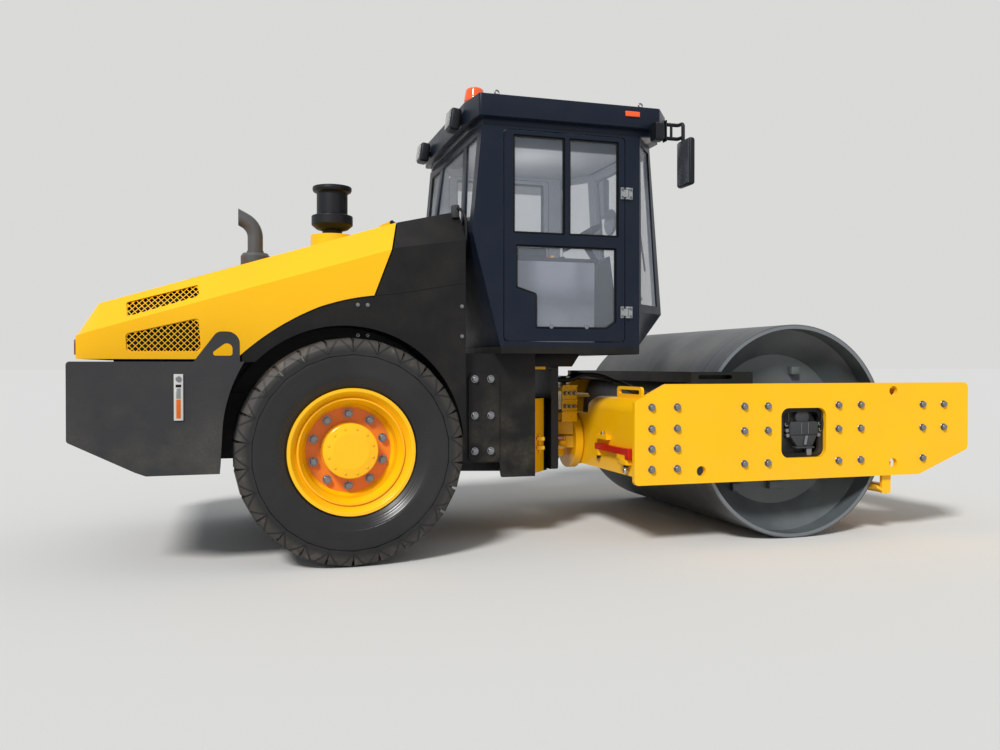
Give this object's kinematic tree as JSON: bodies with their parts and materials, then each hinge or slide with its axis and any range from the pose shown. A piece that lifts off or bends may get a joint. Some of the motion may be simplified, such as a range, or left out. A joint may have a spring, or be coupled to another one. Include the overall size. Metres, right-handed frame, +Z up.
{
  "type": "articulated single-drum road roller",
  "caption": "Articulated soil compactor with a smooth steel drum in a bolted frame, a closed cab, a sloping engine hood and driven rear wheels.",
  "frame": {"origin": "on the ground, in the middle of the machine's length and width", "axes": "+X forward towards the drum, +Y the machine's left, +Z up"},
  "size_m": [6.179, 2.3, 3.1559],
  "materials": {
    "yellow_paint": "gloss machine paint",
    "black_paint": "satin chassis paint",
    "cab_paint": "satin blue-black",
    "grey_paint": "satin grey",
    "red_paint": "gloss signal red",
    "drum_steel": "rolled bare steel",
    "bare_steel": "plated",
    "engine_iron": "cast",
    "tyre": "new tyre rubber",
    "black_plastic": "moulded",
    "glass": "tinted safety glass",
    "amber_lens": "clear moulded lens",
    "seat_fabric": "woven",
    "chrome_rod": "polished"
  },
  "bodies": {
    "rear_frame": {"frame_neck": "yellow_paint", "pivot_pin": "bare_steel", "frame_rails": "black_paint", "cab_saddle": "black_paint", "rear_axle": "black_paint", "counterweight": "grey_paint", "lifting_eyes": "grey_paint", "engine_block": "engine_iron", "wheel_arches": "black_paint", "cowl": "black_paint", "cab_floor": "black_paint", "cab_sides": "cab_paint", "cab_front": "cab_paint", "windscreen": "glass", "cab_rear": "cab_paint", "rear_glass": "glass", "cab_roof": "cab_paint", "mirrors": "black_plastic", "work_lights": "black_plastic", "beacon": "amber_lens", "steps_and_handrail": "black_paint", "seat_base": "black_plastic", "seat_cushion": "seat_fabric", "seat_back": "seat_fabric", "console": "black_plastic", "steering_wheel": "black_plastic", "steer_cylinder_pins": "bare_steel"},
    "hood": {"hood": "yellow_paint", "hood_mesh": "yellow_paint", "exhaust": "grey_paint", "precleaner": "black_plastic"},
    "door_right": {"door_right": "cab_paint", "door_glass_right": "glass"},
    "door_left": {"door_left": "cab_paint", "door_glass_left": "glass"},
    "wheel_right": {"tyre_right": "tyre", "rim_right": "yellow_paint", "hub_right": "yellow_paint"},
    "wheel_left": {"tyre_left": "tyre", "rim_left": "yellow_paint", "hub_left": "yellow_paint"},
    "hitch": {"hitch_yoke": "yellow_paint"},
    "front_frame": {"side_plates": "yellow_paint", "rear_crossbeam": "yellow_paint", "lock_bar": "red_paint", "front_crossbeam": "yellow_paint", "drum_carriers": "black_paint", "scraper_front": "yellow_paint", "scraper_rear": "black_paint"},
    "drum": {"drum": "drum_steel"},
    "barrel_right": {"steer_barrel_right": "black_paint"},
    "barrel_left": {"steer_barrel_left": "black_paint"},
    "rod_right": {"steer_rod_right": "chrome_rod"},
    "rod_left": {"steer_rod_left": "chrome_rod"}
  },
  "joints": [
    {"name": "steer", "type": "hinge", "parent": "rear_frame", "child": "hitch", "pos_m": [0.2035, 0, 0.7], "axis": [0, 0, 1], "range_deg": [-32, 32]},
    {"name": "oscillate", "type": "hinge", "parent": "hitch", "child": "front_frame", "pos_m": [0.3525, 0, 0.65], "axis": [1, 0, 0], "range_deg": [-10, 10]},
    {"name": "drum_roll", "type": "hinge", "parent": "front_frame", "child": "drum", "pos_m": [1.6435, 0, 0.76], "axis": [0, 1, 0], "continuous": true},
    {"name": "wheel_right_roll", "type": "hinge", "parent": "rear_frame", "child": "wheel_right", "pos_m": [-1.4965, -0.835, 0.7], "axis": [0, 1, 0], "continuous": true},
    {"name": "wheel_left_roll", "type": "hinge", "parent": "rear_frame", "child": "wheel_left", "pos_m": [-1.4965, 0.835, 0.7], "axis": [0, 1, 0], "continuous": true},
    {"name": "door_right_swing", "type": "hinge", "parent": "rear_frame", "child": "door_right", "pos_m": [0.4515, -0.813, 2], "axis": [0, 0, 1], "range_deg": [0, 70]},
    {"name": "door_left_swing", "type": "hinge", "parent": "rear_frame", "child": "door_left", "pos_m": [0.4515, 0.813, 2], "axis": [0, 0, -1], "range_deg": [0, 70]},
    {"name": "hood_lift", "type": "hinge", "parent": "rear_frame", "child": "hood", "pos_m": [-1.1305, 0, 2.22], "axis": [0, 1, 0], "range_deg": [0, 50]},
    {"name": "barrel_right_yaw", "type": "hinge", "parent": "rear_frame", "child": "barrel_right", "pos_m": [-0.3965, -0.185, 0.645], "axis": [0, 0, 1], "range_deg": [-2, 2]},
    {"name": "rod_right_slide", "type": "slide", "parent": "barrel_right", "child": "rod_right", "axis": [1, 0, 0], "range_m": [-0.11, 0.11]},
    {"name": "barrel_left_yaw", "type": "hinge", "parent": "rear_frame", "child": "barrel_left", "pos_m": [-0.3965, 0.185, 0.645], "axis": [0, 0, 1], "range_deg": [-2, 2]},
    {"name": "rod_left_slide", "type": "slide", "parent": "barrel_left", "child": "rod_left", "axis": [1, 0, 0], "range_m": [-0.11, 0.11]}
  ],
  "couplings": [
    {"joint": "barrel_right_yaw", "follows": "steer", "ratio": -0.0141},
    {"joint": "rod_right_slide", "follows": "steer", "m_per_rad": 0.1755},
    {"joint": "barrel_left_yaw", "follows": "steer", "ratio": -0.0141},
    {"joint": "rod_left_slide", "follows": "steer", "m_per_rad": -0.1755}
  ]
}
